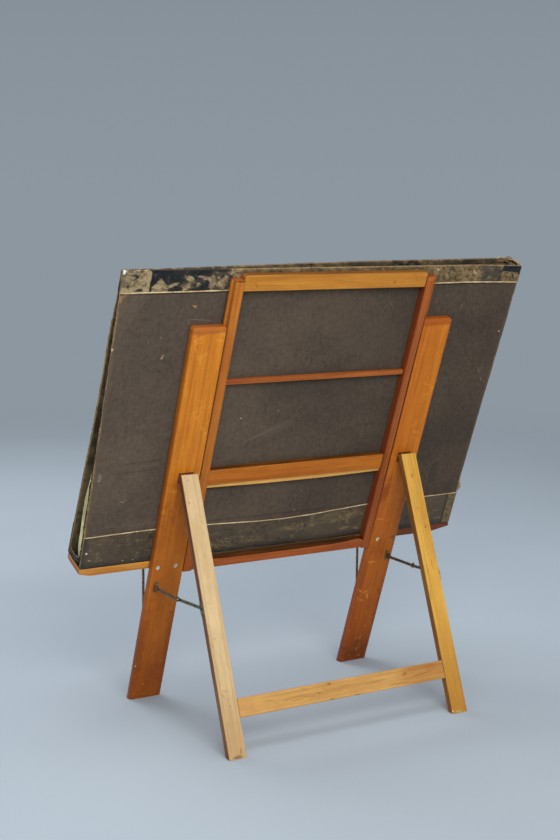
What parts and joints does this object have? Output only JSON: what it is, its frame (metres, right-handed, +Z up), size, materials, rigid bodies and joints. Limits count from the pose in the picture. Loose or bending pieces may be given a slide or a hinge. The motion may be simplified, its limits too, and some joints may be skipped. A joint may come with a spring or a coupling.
{
  "type": "folding folio easel",
  "caption": "Folding wooden easel with hinged rear legs, ledge, sliding back-rest frame and metal stays, carrying a large cloth and leather portfolio.",
  "frame": {"origin": "On the floor plane, at the middle of the bounding box's footprint.", "axes": "+Z up; -Y is the front, the side the portfolio faces; +X is to the right of someone standing in front and looking at it. Front legs lean back 21 degrees towards +Y."},
  "size_m": [0.882, 0.4176, 0.9055],
  "materials": {
    "front_leg_oak": "worn shellac",
    "ledge_oak": "worn shellac",
    "rear_leg_beech": "dry waxed",
    "golden_top_rail": "worn shellac",
    "pale_lath": "bare",
    "frame_mahogany": "worn shellac",
    "aged_brass": "tarnished",
    "bright_screw_steel": "worn bright",
    "dark_hinge_metal": "dark oxide",
    "flap_cloth": "faded weave",
    "worn_leather": "scuffed",
    "book_cloth_board": "cloth-covered millboard"
  },
  "bodies": {
    "front_frame": {"brace_screw_high_left": "bright_screw_steel", "brace_screw_high_right": "bright_screw_steel", "brace_screw_low_left": "bright_screw_steel", "brace_screw_low_right": "bright_screw_steel", "front_leg_left": "front_leg_oak", "front_leg_right": "front_leg_oak", "hinge_front_leaf_left": "dark_hinge_metal", "hinge_front_leaf_right": "dark_hinge_metal", "hinge_front_screw_left": "bright_screw_steel", "hinge_front_screw_right": "bright_screw_steel", "hinge_pin_left": "dark_hinge_metal", "hinge_pin_right": "dark_hinge_metal", "ledge": "ledge_oak", "ledge_brace_left": "aged_brass", "ledge_brace_right": "aged_brass", "ledge_screw_left_inner": "bright_screw_steel", "ledge_screw_left_outer": "bright_screw_steel", "ledge_screw_right_inner": "bright_screw_steel", "ledge_screw_right_outer": "bright_screw_steel", "stay_bracket_left": "aged_brass", "stay_bracket_right": "aged_brass", "stay_bracket_screw_left": "bright_screw_steel", "stay_bracket_screw_right": "bright_screw_steel", "stay_front_rivet_left": "aged_brass", "stay_front_rivet_right": "aged_brass"},
    "rear_frame": {"hinge_rear_leaf_left": "dark_hinge_metal", "hinge_rear_leaf_right": "dark_hinge_metal", "hinge_rear_screw_left": "bright_screw_steel", "hinge_rear_screw_right": "bright_screw_steel", "rear_leg_left": "rear_leg_beech", "rear_leg_right": "rear_leg_beech", "rear_stretcher": "rear_leg_beech", "stay_plate_left": "aged_brass", "stay_plate_right": "aged_brass", "stay_plate_screw_left": "bright_screw_steel", "stay_plate_screw_right": "bright_screw_steel"},
    "stay_front_link_right": {"stay_front_link_right": "aged_brass", "stay_knuckle_rivet_right": "aged_brass"},
    "stay_rear_link_right": {"stay_rear_link_right": "aged_brass"},
    "stay_front_link_left": {"stay_front_link_left": "aged_brass", "stay_knuckle_rivet_left": "aged_brass"},
    "stay_rear_link_left": {"stay_rear_link_left": "aged_brass"},
    "back_rest_frame": {"frame_bottom_rail": "frame_mahogany", "frame_lath": "pale_lath", "frame_middle_rail": "frame_mahogany", "frame_stile_left": "frame_mahogany", "frame_stile_right": "frame_mahogany", "frame_thin_bar": "frame_mahogany", "frame_top_rail": "golden_top_rail"},
    "portfolio": {"folio_back_board": "book_cloth_board", "folio_back_high_band": "worn_leather", "folio_back_low_band": "worn_leather", "folio_flap_left": "flap_cloth", "folio_flap_right": "flap_cloth", "folio_spine": "worn_leather"},
    "portfolio_front": {"folio_front_board": "book_cloth_board", "folio_front_high_band": "worn_leather", "folio_front_low_band": "worn_leather"}
  },
  "joints": [
    {"name": "rear_frame_fold", "type": "hinge", "parent": "front_frame", "child": "rear_frame", "pos_m": [0, 0.00053, 0.49992], "axis": [-1, 0, 0], "range_deg": [0, 42]},
    {"name": "stay_front_link_turn_right", "type": "hinge", "parent": "front_frame", "child": "stay_front_link_right", "pos_m": [0.278, -0.0861, 0.25832], "axis": [1, 0, 0], "range_deg": [0, 68.73]},
    {"name": "stay_knuckle_turn_right", "type": "hinge", "parent": "stay_front_link_right", "child": "stay_rear_link_right", "pos_m": [0.2768, 0.00691, 0.25774], "axis": [-1, 0, 0], "range_deg": [0, 182.45]},
    {"name": "stay_front_link_turn_left", "type": "hinge", "parent": "front_frame", "child": "stay_front_link_left", "pos_m": [-0.278, -0.0861, 0.25832], "axis": [1, 0, 0], "range_deg": [0, 68.73]},
    {"name": "stay_knuckle_turn_left", "type": "hinge", "parent": "stay_front_link_left", "child": "stay_rear_link_left", "pos_m": [-0.2768, 0.00691, 0.25774], "axis": [-1, 0, 0], "range_deg": [0, 182.45]},
    {"name": "back_rest_slide", "type": "slide", "parent": "front_frame", "child": "back_rest_frame", "axis": [0, 0.3584, 0.9336], "range_m": [0, 0.2]},
    {"name": "portfolio_lift_off", "type": "slide", "parent": "front_frame", "child": "portfolio", "axis": [0, 0.3584, 0.9336], "range_m": [0, 0.15]},
    {"name": "portfolio_front_open", "type": "hinge", "parent": "portfolio", "child": "portfolio_front", "pos_m": [0, -0.14492, 0.34088], "axis": [1, 0, 0], "range_deg": [0, 80]}
  ],
  "couplings": [
    {"joint": "stay_front_link_turn_right", "follows": "rear_frame_fold", "ratio": 1.636},
    {"joint": "stay_knuckle_turn_right", "follows": "rear_frame_fold", "ratio": 4.3429},
    {"joint": "stay_front_link_turn_left", "follows": "rear_frame_fold", "ratio": 1.636},
    {"joint": "stay_knuckle_turn_left", "follows": "rear_frame_fold", "ratio": 4.3429}
  ]
}
